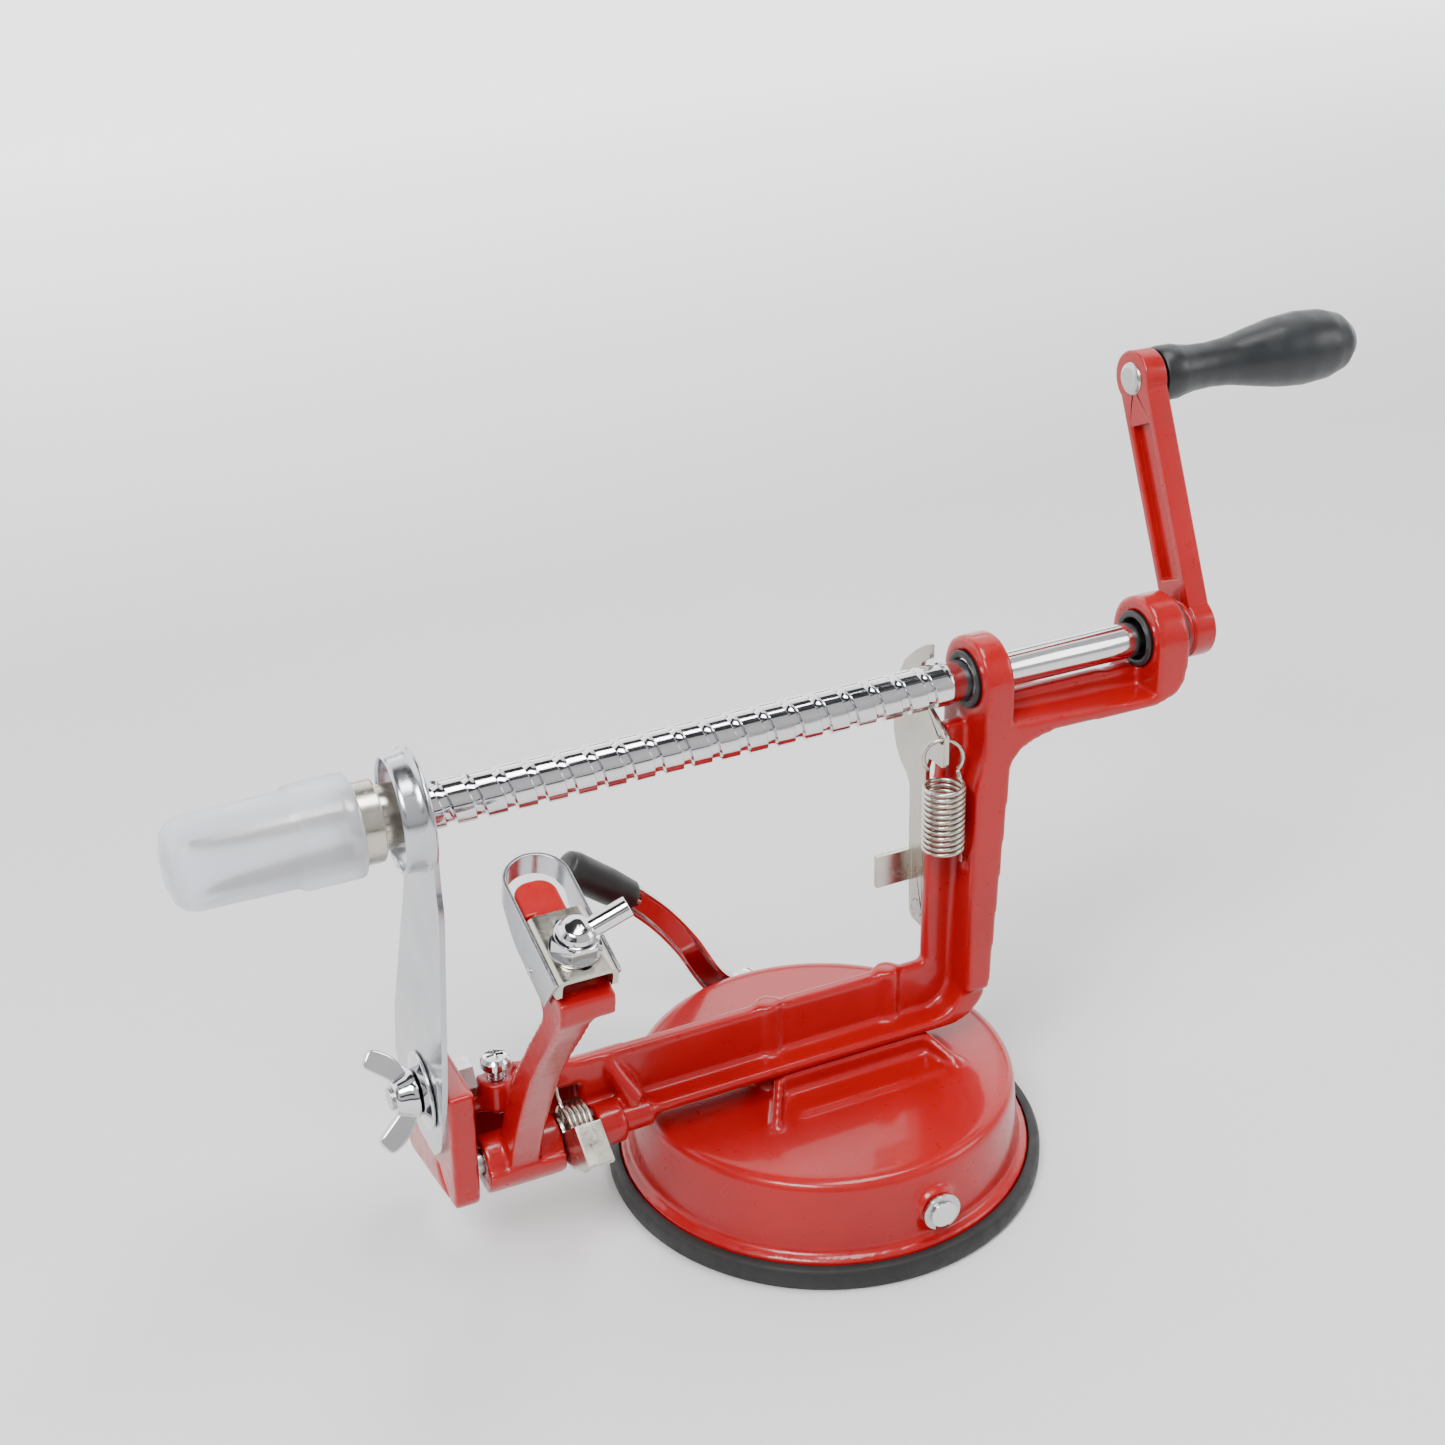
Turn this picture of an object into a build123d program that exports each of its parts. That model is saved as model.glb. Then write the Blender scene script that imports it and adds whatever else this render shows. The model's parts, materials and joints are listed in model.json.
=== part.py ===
from build123d import *
import math
import os

# Apple peeler corer.  Frame: origin on the table under the middle of the
# suction base, +X from the fork to the crank, +Z up.  All sizes in mm.

# ---- driving dimensions ----
SHAFT_Z = 113.2          # height of the feed shaft above the table
THREAD_R = 4.8           # outer radius of the feed thread
PITCH = 6.35             # lead of the feed thread
GROOVE_W = 2.0           # width of the thread groove
GROOVE_D = 0.7           # depth of the thread groove
THREAD_X0, THREAD_X1 = -85.0, 30.0
ROD_R = 4.0              # plain rear rod
ROD_X1 = 96.5
TOOTH_X = 28.0           # plane of the release lever
BASE_R = 50.0            # rubber foot
WALL_R = 45.0            # housing wall at its foot
HOUSING_TOP = 23.6
WALL = 2.5
BEAM_Z = 29.3            # underside of the beam
WEB = 1.75               # half thickness of every casting web
BOSS_R = 9.5             # shaft bosses of the casting
FRONT_BOSS = (35.5, 42.5)
REAR_BOSS = (79.5, 87.5)
BRACKET = (-91.5, -85.8)
PIVOT = (-6.0, 30.0)     # peeling arm pivot, (y, z)
PIN_R = 2.5
BOLT = (1.0, 47.0)       # coring blade bolt, (y, z)
BOLT_R = 2.5
RING_R = 12.0            # coring ring, outside
CAM = (4.5, 13.5)        # suction cam pin, (x, z)
CAM_R = 3.0
CRANK_TILT = 24.5        # crank lean from vertical, degrees
CRANK_R = 56.8           # crank throw
FIT = 0.06               # radial clearance of the running fits


# ---- small helpers ----
def cyl_x(y, z, x0, x1, r):
    at = Plane((x0, y, z), x_dir=(0, 1, 0), z_dir=(1, 0, 0))
    return extrude(at * Circle(r), x1 - x0)


def cyl_y(x, z, y0, y1, r):
    at = Plane((x, y0, z), x_dir=(1, 0, 0), z_dir=(0, 1, 0))
    return extrude(at * Circle(r), y1 - y0)


def cyl_z(x, y, z0, z1, r):
    return extrude(Plane((x, y, z0)) * Circle(r), z1 - z0)


def block(x0, x1, y0, y1, z0, z1):
    size = (x1 - x0, y1 - y0, z1 - z0)
    mid = ((x0 + x1) / 2, (y0 + y1) / 2, (z0 + z1) / 2)
    return Pos(*mid) * Box(*size)


def outline(points):
    return make_face(Polyline(*points, close=True))


def plate_x(yz, x0, x1):
    """Flat shape drawn in Y,Z and given thickness along X."""
    at = Plane((x0, 0, 0), x_dir=(0, 1, 0), z_dir=(1, 0, 0))
    return extrude(at * outline(yz), x1 - x0)


def plate_y(xz, y0, y1):
    """Flat shape drawn in X,Z and given thickness along Y."""
    at = Plane((0, y1, 0), x_dir=(1, 0, 0), z_dir=(0, -1, 0))
    return extrude(at * outline(xz), y1 - y0)


def turned_x(profile, y, z):
    """Solid turned about an axis parallel to X from (x, r) points."""
    at = Plane((0, y, z), x_dir=(1, 0, 0), z_dir=(0, 0, 1))
    return revolve(at * outline(profile), Axis((0, y, z), (1, 0, 0)))


def turned_z(profile):
    """Solid turned about the vertical axis from (r, z) points."""
    at = Plane((0, 0, 0), x_dir=(1, 0, 0), z_dir=(0, -1, 0))
    return revolve(at * outline(profile), Axis.Z)


def wire(points, r):
    """Round wire of radius r through a chain of points."""
    knot = r * 1.04
    body = Pos(*points[0]) * Sphere(knot)
    for p, q in zip(points, points[1:]):
        step = Vector(*q) - Vector(*p)
        at = Plane(p, z_dir=step)
        body += extrude(at * Circle(r), step.length)
        body += Pos(*q) * Sphere(knot)
    return body


def polar(centre, r, degrees):
    a = math.radians(degrees)
    return centre[0] + r * math.cos(a), centre[1] + r * math.sin(a)


def arc_points(centre, r, a0, a1, n):
    return [polar(centre, r, a0 + (a1 - a0) * i / n) for i in range(n + 1)]


def coil(start, direction, r, turns, length, wire_r):
    """Wound spring and a point just past each of its ends.

    The winding is made of equal runs that meet end to end.
    """
    runs = math.ceil(turns / 2)
    axis = Vector(*direction)
    share = length / runs
    pieces = []
    for i in range(runs):
        path = Helix(pitch=length / turns, height=share, radius=r,
                     center=tuple(Vector(*start) + axis * share * i),
                     direction=direction)
        at = Plane(path @ 0, z_dir=path % 0)
        run = sweep(at * Circle(wire_r), path=path, is_frenet=True)
        lift = Vector(*start)
        turn = Pos(*lift) * Rot(*(axis * (360 * turns * i / runs)))
        pieces.append(turn * (Pos(*(-lift)) * run))
        gap = wire_r * 1.04 + 0.03
        low = (path @ 0) - (path % 0) * gap if i == 0 else low
        high = turn * Pos(*(-lift)) * Vertex(
            *((path @ 1) + (path % 1) * gap))
    return pieces, tuple(low), (high.X, high.Y, high.Z)


# ---- suction base ----
def base_housing():
    shell = turned_z([
        (0, HOUSING_TOP), (41.6, HOUSING_TOP), (42.9, HOUSING_TOP - 0.6),
        (43.6, HOUSING_TOP - 1.8), (WALL_R, 6.2), (47.2, 6.2),
        (47.2, 3.0), (WALL_R - WALL, 3.0), (43.6 - WALL, HOUSING_TOP - 3),
        (40.2, HOUSING_TOP - WALL), (0, HOUSING_TOP - WALL)])
    plinth = block(-13, 23, -7.5, 7.5, HOUSING_TOP - 1, BEAM_Z)
    pad = block(-13, 23, -15.4, -7, HOUSING_TOP - 1, HOUSING_TOP + 0.6)
    back_pad = block(-13, 23, 7, 15.4, HOUSING_TOP - 1, HOUSING_TOP + 0.6)
    body = shell + plinth + pad + back_pad
    for side in (-1, 1):
        left = [(-14.5, -7), (-20.2, -16.9)]
        right = [(23.5, -7), (27.6, -14.9)]
        for (x0, y0), (x1, y1) in (left, right):
            body += fin((x0, side * -y0), (x1, side * -y1))
    for x in (-13.5, 16.5):
        body += cyl_z(x, 0, HOUSING_TOP - 4.5, BEAM_Z, 4.4)
        body -= cyl_z(x, 0, HOUSING_TOP - 5, BEAM_Z + 1, 1.98)
    # wall bosses that carry the cam pin
    bosses = cyl_y(*CAM, -46, -40, 4.6) + cyl_y(*CAM, 40, 46, 4.6)
    body += bosses
    body -= cyl_y(*CAM, -60, 60, CAM_R + FIT)
    body -= block(CAM[0] - 7.9, CAM[0] + 7.9, -4, 4, 12, HOUSING_TOP)
    return body


def fin(inner, outer):
    """Tapered gusset standing on the housing top."""
    dx, dy = outer[0] - inner[0], outer[1] - inner[1]
    run = math.hypot(dx, dy)
    at = Plane((inner[0], inner[1], 0), x_dir=(dx, dy, 0),
               z_dir=(dy, -dx, 0))
    shape = outline([(-1.2, HOUSING_TOP - 1), (run, HOUSING_TOP - 1),
                     (run, HOUSING_TOP + 1.2), (-1.2, BEAM_Z)])
    return extrude(at * shape, 1.1, both=True)


def suction_disc():
    return turned_z([
        (0, 0), (48.3, 0), (49.5, 0.5), (BASE_R, 1.6), (BASE_R, 4.3),
        (49.4, 5.3), (48.4, 5.6), (47.5, 5.4), (47.35, 4.9),
        (47.35, 3.0), (0, 3.0)])


def suction_stud():
    x, z = CAM
    stem = cyl_z(x, 0, 3.1, 5.6, 9.0) - cyl_z(x, 0, 5.0, 6.0, 6.4)
    eye = block(x - 7.3, x + 7.3, -3, 3, 3.2, z + 5.5)
    window = block(x - 5.3, x + 5.3, -4, 4, z - 8.3, z + 3.3)
    return stem + eye - window


def cam_pin():
    x, z = CAM
    pin = cyl_y(x, z, -48, 51.2, CAM_R)
    lobe = cyl_y(x, z - 0.9, -2.8, 2.8, 4.05)
    groove = cyl_y(x, z, -47.3, -46.3, CAM_R + 1)
    groove -= cyl_y(x, z, -47.3, -46.3, CAM_R - 0.6)
    return pin + lobe - groove


def pin_clip():
    x, z = CAM
    ring = cyl_y(x, z, -47.25, -46.35, 4.4)
    ring -= cyl_y(x, z, -48, -45, CAM_R - 0.58)
    ring -= block(x - 1.6, x + 1.6, -48, -45, z - 6, z)
    return ring


def lever_path():
    x, z = CAM
    return [(x, z), (-4.8, 18.9), (-12.5, 32.4), (-18.7, 41.3),
            (-25.0, 48.2)]


def ribbon(path, half):
    """Closed outline of a strip of constant width along a path."""
    left, right = [], []
    for i, (px, pz) in enumerate(path):
        ax, az = path[max(i - 1, 0)]
        bx, bz = path[min(i + 1, len(path) - 1)]
        run = math.hypot(bx - ax, bz - az)
        nx, nz = -(bz - az) / run, (bx - ax) / run
        left.append((px + half * nx, pz + half * nz))
        right.append((px - half * nx, pz - half * nz))
    return left + right[::-1]


def suction_lever():
    path = lever_path()
    body = plate_y(ribbon(path, 2.8), 46.6, 51.4)
    body += cyl_y(*CAM, 46.6, 51.4, 4.8)
    trough = plate_y(ribbon(path[1:], 1.7), 46.0, 50.2)
    body -= trough
    body -= cyl_y(*CAM, 46, 52, CAM_R + 0.02)
    tang = turned_between((-23.8, 47.3), (-40.5, 60.7), 1.6)
    return body + tang


def turned_between(a, b, r):
    """Round bar in the lever plane between two (x, z) points."""
    dx, dz = b[0] - a[0], b[1] - a[1]
    at = Plane((a[0], 49.0, a[1]), z_dir=(dx, 0, dz))
    return extrude(at * Circle(r), math.hypot(dx, dz))


def lever_grip():
    a, b = (-25.6, 48.8), (-42.2, 62.1)
    dx, dz = b[0] - a[0], b[1] - a[1]
    run = math.hypot(dx, dz)
    at = Plane((a[0], 49.0, a[1]), x_dir=(0, 1, 0), z_dir=(dx, 0, dz))
    shape = outline([(0, 0), (3.4, 0), (3.9, 0.7), (4.4, 7),
                     (4.5, run - 3), (4.0, run - 1.1), (2.8, run - 0.3),
                     (0, run)])
    local = revolve(Plane.XZ * shape, Axis.Z)
    grip = at.location * local
    return grip - turned_between((-23.8, 47.3), (-40.5, 60.7), 1.62)


# ---- frame casting ----
def frame_casting():
    x0, x1 = BRACKET
    bracket = plate_x([(-13, 52.3), (-12.2, 46), (-10.4, 24), (-9.2, 22),
                       (22, 16.2), (24.5, 17), (25.2, 20), (25.2, 49),
                       (24, 52), (21, 52.5)], x0, x1)
    py, pz = PIVOT
    crescent = cyl_x(py, pz, x0 - 1, x0 + 1.4, 8.8)
    crescent -= cyl_x(py, pz, x0 - 1, x0 + 1.4, 7.0)
    wedge = plate_x([PIVOT, polar(PIVOT, 14, -82), polar(PIVOT, 14, -50),
                     polar(PIVOT, 14, -18)], x0 - 1, x0 + 1.4)
    bracket -= crescent & wedge

    # upper web over the pivot, with the relief for the stop screw
    neck = plate_y([(x1, 51.2), (-81.6, 50.2), (-81.2, 46.5),
                    (-73.8, 46.5), (-73.4, 47.9), (-59, 44.3),
                    (-58, 44), (-58, 38.6), (x1, 38.6)], -WEB, WEB)
    backing = plate_y([(x1, 42), (-58, 42), (-58, 29.3), (-70, 27),
                       (x1, 24)], 2.5, 5.2)
    lug = cyl_z(-77.5, -1.2, 39.2, 46.5, 3.6)
    neck += lug + block(-58.6, -46, -WEB, 5.2, BEAM_Z, 42)
    frame = bracket + neck + backing
    frame += plate_x([(1.0, 38.6), (5.2, 38.6), (5.2, 42), (1.0, 42)],
                     x1, -58)

    # beam: web, lower flange, upturned end
    web = plate_y([(-59, 44.3), (26.0, 44.0), (25.7, 46), (26.3, 74),
                   (28.7, 92), (29.6, 98), (30.0, 104.0),
                   (37, 104), (36, 60), (35, 33), (30, 30.5),
                   (-59, 30)], -WEB, WEB)
    flange = block(-46.5, 24.5, -7.8, 7.8, BEAM_Z, 32)
    bend_in = arc_points((24.5, 39.8), 7.8, -90, 0, 8)
    bend_out = arc_points((28.4, 39.8), 10.5, 0, -90, 8)
    bend_out = [(min(x, 38.3), z) for x, z in bend_out]
    corner = plate_y([(24.4, 32.0)] + bend_in + [(32.4, 44.5),
                     (38.4, 44.5)] + bend_out + [(24.4, BEAM_Z)],
                     -7.8, 7.8)
    frame += web + flange + corner
    for x in (-13.5, 16.5):
        frame += cyl_z(x, 0, BEAM_Z, 44.9, 2.9)

    # pivot bosses at the front corner of the flange
    frame += cyl_x(py, pz, -58.4, -52, 4.75)
    frame += cyl_x(py, pz, -52.2, -45, 2.9)
    frame += block(-58.4, -46, py, WEB, BEAM_Z, 31.6)
    frame += plate_y([(-57, 43.5), (-46, 31.5), (-57, 31.5)], -WEB, WEB)
    frame += buttress()

    # column flange rising to the front boss
    column = plate_y([(32.2, 38), (33.5, 90), (35.4, 98), (35.5, 103),
                      (35.5, SHAFT_Z),
                      (42.5, SHAFT_Z), (42.3, 96), (38.3, 38)], -9.5, 9.5)
    frame += column
    frame += cyl_x(0, SHAFT_Z, *FRONT_BOSS, BOSS_R)

    # rear channel: lower flange, web and rear boss
    rail = plate_y([(41, 104.4), (79.8, 102.5), (79.8, 100.2),
                    (53, 100.6), (48, 99.5), (44.5, 97.9), (41.6, 94.2),
                    (40, 90)], -9.5, 9.5)
    rail_web = plate_y([(42, 103), (42, 107.8), (80, 107.8),
                        (80, 101.5)], -WEB, WEB)
    foot = plate_y([(79.5, 108), (79.5, 100.2), (81.4, 100.7),
                    (84.8, 101.9), (86.7, 104.2), (87.5, 108),
                    (87.5, SHAFT_Z), (79.5, SHAFT_Z)], -BOSS_R, BOSS_R)
    frame += rail + rail_web + foot
    frame += cyl_x(0, SHAFT_Z, *REAR_BOSS, BOSS_R)

    # bores
    frame -= cyl_x(0, SHAFT_Z, 30, 44, 5.9)
    frame -= cyl_x(0, SHAFT_Z, 70, 90, 5.9)
    frame -= cyl_x(0, SHAFT_Z, 78.2, REAR_BOSS[0], 6.8)
    frame -= cyl_x(0, SHAFT_Z, 33, FRONT_BOSS[0], 6.8)
    frame -= cyl_x(*BOLT, x1, -81.6, 5.6)
    frame -= cyl_x(py, pz, x0 + 1.8, -50, PIN_R + 0.02)
    frame -= cyl_x(*BOLT, x0 - 1, x1 + 1, BOLT_R + 0.02)
    for x in (-13.5, 16.5):
        frame -= cyl_z(x, 0, BEAM_Z - 1, 42.2, 1.98)
    frame -= cyl_z(-77.5, -1.2, 38, 47, 1.77)
    frame -= cyl_x(-5, 70.2, 30, 37.5, 1.3)
    frame -= cyl_x(5.5, 54.5, 30, 37, 2.02)
    return frame


def buttress():
    """Tapered rib from the beam's top down to the pivot bosses."""
    top, foot = Vector(-53.0, -0.6, 43.2), Vector(-48.0, -4.8, 33.0)
    at = Plane(foot, z_dir=top - foot)
    height = (top - foot).length
    base = (Align.CENTER, Align.CENTER, Align.MIN)
    return at.location * Cone(2.9, 1.5, height, align=base)


def frame_screw(x):
    body = cyl_z(x, 0, 18.9, 41.5, 1.96)
    head = cyl_z(x, 0, 16.8, 19.0, 3.5)
    slot = block(x - 2.4, x + 2.4, -0.45, 0.45, 15, 18.0)
    cross = block(x - 0.45, x + 0.45, -2.4, 2.4, 15, 18.0)
    return body + head - slot - cross


def bush(lip_x, end_x, bore):
    ring = cyl_x(0, SHAFT_Z, lip_x, end_x, 5.88)
    lip = cyl_x(0, SHAFT_Z, lip_x, lip_x + 0.8, 6.4)
    return ring + lip - cyl_x(0, SHAFT_Z, lip_x - 1, end_x + 1, bore)


def pivot_pin():
    y, z = PIVOT
    return cyl_x(y, z, BRACKET[0] + 1.9, -50.1, PIN_R)


def release_pivot():
    pin = cyl_x(5.5, 54.5, TOOTH_X - 0.65, 36.9, 2.0)
    collar = cyl_x(5.5, 54.5, TOOTH_X + 0.7, 32.5, 3.2)
    return pin + collar


def stop_screw():
    x, y = -77.5, -1.2
    shank = cyl_z(x, y, 38.3, 49.8, 1.75)
    for i in range(11):
        z = 40.2 + 0.85 * i
        ring = cyl_z(x, y, z, z + 0.3, 2.2) - cyl_z(x, y, z, z + 0.3, 1.45)
        shank -= ring
    head = turned_at((x, y), [(0, 49.6), (3.2, 49.6), (3.3, 50.0),
                              (3.2, 51.2), (2.5, 52.0), (0, 52.3)])
    cross = block(x - 1.9, x + 1.9, y - 0.4, y + 0.4, 51.0, 53)
    cross += block(x - 0.4, x + 0.4, y - 1.9, y + 1.9, 51.0, 53)
    return shank + head - cross


def turned_at(xy, profile):
    return Pos(xy[0], xy[1], 0) * turned_z(profile)


# ---- feed shaft, fork and crank ----
def crank_shaft():
    stub = [(-97, 0), (-97, 3.2), (-96.6, 3.5), (-86.2, 3.5),
            (-86.2, 4.2), (-85.2, THREAD_R), (THREAD_X1, THREAD_R),
            (30.6, 4.5), (35, 4.5), (35, THREAD_R), (43, THREAD_R),
            (43.5, ROD_R), (ROD_X1, ROD_R), (ROD_X1, 0)]
    body = turned_x(stub, 0, SHAFT_Z)
    # groove centre passes the lever tooth, which sits on the +Y side
    start = THREAD_X0 + 1.5 - PITCH
    turns = math.ceil((TOOTH_X - start) / PITCH)
    begin = TOOTH_X - turns * PITCH
    length = THREAD_X1 + 2.0 - begin
    path = Helix(pitch=PITCH, height=length, radius=THREAD_R - GROOVE_D,
                 center=(begin, 0, SHAFT_Z), direction=(1, 0, 0))
    first = path @ 0
    turn0 = math.degrees(math.atan2(first.Z - SHAFT_Z, first.Y))
    radial = Vector(0, first.Y, first.Z - SHAFT_Z).normalized()
    at = Plane(first, x_dir=radial, z_dir=path % 0)
    w = GROOVE_W / 2
    cut = outline([(0, -w + 0.2), (0, w - 0.2), (1.5, w), (1.5, -w)])
    groove = sweep(at * cut, path=path, is_frenet=True)
    groove = Pos(0, 0, -SHAFT_Z) * groove
    groove = Pos(0, 0, SHAFT_Z) * groove.rotate(Axis.X, -turn0)
    keep = cyl_x(0, SHAFT_Z, THREAD_X0 - 2, THREAD_X1 + 0.4, 8)
    return body - (groove & keep)


def fork():
    hub = turned_x([(-103.6, 0), (-103.6, 7.6), (-103.2, 7.95),
                    (-101.0, 7.95), (-101.0, 8.5), (-97.0, 8.5),
                    (-96.6, 8.1), (-96.6, 6.6), (-88.4, 6.4),
                    (-88.0, 6.0), (-88.0, 0)], 0, SHAFT_Z)
    for turn in (0, 120, 240):
        blade = plate_y([(-102.5, 3.2), (-102.5, 7.2), (-118, 7.2),
                         (-128.6, 6.9), (-132.8, 6.2), (-128.0, 4.6),
                         (-118, 3.6)], -0.75, 0.75)
        hub += Pos(0, 0, SHAFT_Z) * blade.rotate(Axis.X, turn - 90)
    hub -= cyl_x(0, SHAFT_Z, -97.1, -87, 3.52)
    return hub


def fork_cap():
    outer = [(-138, 0), (-137.8, 4.2), (-136.9, 7.0), (-135.4, 8.6),
             (-133.4, 9.2), (-114.0, 9.6), (-112.8, 10.4),
             (-112.0, 10.5), (-101.5, 10.5), (-101.05, 10.2), (-101.05, 8.02),
             (-130.5, 7.9), (-134.6, 7.0), (-136.0, 4.5), (-136.2, 0)]
    return turned_x(outer, 0, SHAFT_Z)


def thrust_washer():
    ring = cyl_x(0, SHAFT_Z, REAR_BOSS[1] + 0.05, 88.95, 7.6)
    return ring - cyl_x(0, SHAFT_Z, 87, 90, ROD_R + FIT)


def crank_arm():
    a = math.radians(CRANK_TILT)
    axle = (CRANK_R * math.sin(a), SHAFT_Z + CRANK_R * math.cos(a))
    side = (math.cos(a), -math.sin(a))
    hub = (0.0, SHAFT_Z)
    w = 5.5
    edge = []
    for (y, z), s in ((hub, w), (axle, w), (axle, -w), (hub, -w)):
        edge.append((y + s * side[0], z + s * side[1]))
    body = plate_x(edge, 91, 96.5)
    body += cyl_x(*axle, 91, 96.5, 6.3) + cyl_x(*hub, 91, 96.5, 7.0)
    body += cyl_x(*hub, 89, 91.2, 6.0)
    trough = []
    for (y, z), s in ((hub, 1), (axle, 1), (axle, -1), (hub, -1)):
        end = 11.0 if (y, z) == hub else -10.5
        trough.append((y + s * 3.4 * side[0] + end * math.sin(a),
                       z + s * 3.4 * side[1] + end * math.cos(a)))
    body -= plate_x(trough, 90, 92.8)
    body -= cyl_x(*hub, 88, 98, ROD_R + 0.02)
    return body - cyl_x(*axle, 90, 98, 2.52)


def axle_point():
    a = math.radians(CRANK_TILT)
    return CRANK_R * math.sin(a), SHAFT_Z + CRANK_R * math.cos(a)


def handle_axle():
    y, z = axle_point()
    return turned_x([(90.2, 0), (90.2, 2.6), (90.5, 3.4), (90.95, 3.7),
                     (90.95, 2.5), (143, 2.5), (143.4, 2.1), (143.4, 0)],
                    y, z)


def handle_grip():
    y, z = axle_point()
    shape = [(97.2, 2.56), (97.2, 5.9), (97.8, 6.25), (101.8, 6.25),
             (103.2, 5.9), (106.5, 5.3), (111.5, 5.1), (117, 5.5),
             (123, 6.7), (130, 8.0), (136.5, 8.55), (143, 8.1),
             (147.6, 6.7), (150.4, 4.4), (151.7, 1.4), (151.7, 0),
             (144, 0), (144, 2.56)]
    return turned_x(shape, y, z)


# ---- release lever ----
def release_lever():
    c = (0, SHAFT_Z)
    inner = arc_points(c, 5.9, 74, 14, 5)
    tooth = [(5.55, SHAFT_Z + 0.8), (4.45, SHAFT_Z + 0.7),
             (4.45, SHAFT_Z - 0.7), (5.55, SHAFT_Z - 0.8)]
    lower = arc_points(c, 5.9, -14, -58, 4)
    shape = [(1.4, 122.3)] + inner + tooth + lower
    shape += [(-4.2, 104.4), (-5.4, 103.2), (-5.4, 96.2), (-4.8, 95.4),
              (1.0, 95.2), (2.4, 92.0),
              (2.4, 51.4), (3.2, 50.6), (8.0, 50.6), (9.2, 51.8),
              (9.6, 84.6), (11.0, 86.8), (13.6, 88.6), (15.8, 91.4),
              (17.0, 94.8), (17.4, 99), (17.0, 103), (15.6, 109),
              (12.4, 114.6), (7.4, 119.0), (3.0, 122.0)]
    body = plate_x(shape, TOOTH_X - 0.6, TOOTH_X + 0.6)
    body += block(18.2, TOOTH_X, 7.9, 9.1, 60.9, 68.9)
    body -= cyl_x(-3.9, 101.9, 27, 29, 1.05)
    return body - cyl_x(5.5, 54.5, 20, 30, 2.0 + FIT)


def release_spring():
    body, low, high = coil((26.6, -7.0, 76.6), (0, 0, 1), 4.3, 12, 16.2,
                           0.5)
    # top eye: most of a ring, threaded through the ear of the lever
    facing = Plane((28.0, -4.0, 97.6), x_dir=(0.912, -0.41, 0),
                   z_dir=(-0.41, -0.912, 0))
    start = facing * Pos(3.29, -2.77, 0)
    radial = (start.position - facing.origin).normalized()
    at = Plane(start.position, x_dir=radial,
               z_dir=facing.z_dir.cross(radial))
    spin = Axis(facing.origin, facing.z_dir)
    eye = revolve(at * Circle(0.5), spin, 262)
    neck = wire([high, (30.9, -5.6, 94.3)], 0.5)
    foot = [low, (31.6, -6.4, 74.6), (32.2, -5.4, 71.6),
            (33.6, -5.0, 70.3), (36.2, -5.0, 70.2)]
    return Compound(body + [wire(foot, 0.5), neck, eye])


# ---- peeling arm ----
def peel_arm():
    y, z = PIVOT
    hub = cyl_x(y, z, -84, -67, 7.0)
    hub -= block(-84.5, -66, y - 8, y + 8, z + 0.5, z + 8)
    hub += cyl_x(y, z, -84, -67, 5.6)
    rear = [(-5.0, 33), (-8.4, 40), (-11.7, 47.6), (-19.7, 60.0),
            (-30.0, 73.4), (-40.4, 86.0), (-41.4, 91.5)]
    front = [(-50.5, 95.5), (-51.2, 90.3), (-45.4, 83.0), (-38.5, 74.8),
             (-31.2, 65.4), (-24.5, 54.7), (-18.6, 44.4), (-14.0, 35.0),
             (-11.6, 29.0)]
    blade = plate_x(rear + front, -79.5, -73)
    head = plate_x([(-34.2, 98.6), (-41.0, 88.0), (-51.2, 90.4),
                    (-52.3, 97.0), (-50, 98.9), (-40, 102.2)],
                   -79.5, -68.5)
    body = hub + blade + head
    body -= head_block(-6.3, 8, -20, 6)
    body -= stud_bar(2.02, -12.2, -4)
    return body - cyl_x(y, z, -85, -66, PIN_R + FIT)


HEAD = (-37.4, 106.4)                 # inner edge of the channel plate
TILT = (0.951, 0.311)                 # its slope toward the shaft


def on_head(t, n):
    """(y, z) of a point t toward the shaft and n above the plate."""
    return (HEAD[0] + TILT[0] * t - TILT[1] * n,
            HEAD[1] + TILT[1] * t + TILT[0] * n)


def head_block(n0, n1, t0, t1, x0=-81, x1=-67):
    return plate_x([on_head(t0, n0), on_head(t1, n0), on_head(t1, n1),
                    on_head(t0, n1)], x0, x1)


def peel_head():
    body = head_block(-1.4, 0, -16.4, 0, -79.85, -68.15)
    for x in (-79.85, -69.35):
        wall = plate_x([on_head(-16.4, -1), on_head(0, -1),
                        on_head(0, -5.6), on_head(-3.5, -6.2),
                        on_head(-13, -6.0), on_head(-16.4, -4.2)],
                       x, x + 1.2)
        body += wall
    slot = head_block(-3, 1, -15.0, -4.5, -76.1, -71.9)
    return body - slot


def stud_bar(r, n0, n1):
    at = Plane((-74, *on_head(-9.6, n0)), x_dir=(1, 0, 0),
               z_dir=(0, -TILT[1], TILT[0]))
    return extrude(at * Circle(r), n1 - n0)


def peel_stud():
    at = Plane((-74, *on_head(-9.6, -6.2)), x_dir=(1, 0, 0),
               z_dir=(0, -TILT[1], TILT[0]))
    foot = extrude(at * Rectangle(7.6, 6.0), 1.6)
    return foot + stud_bar(2.0, -12.1, 2.2)


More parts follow.
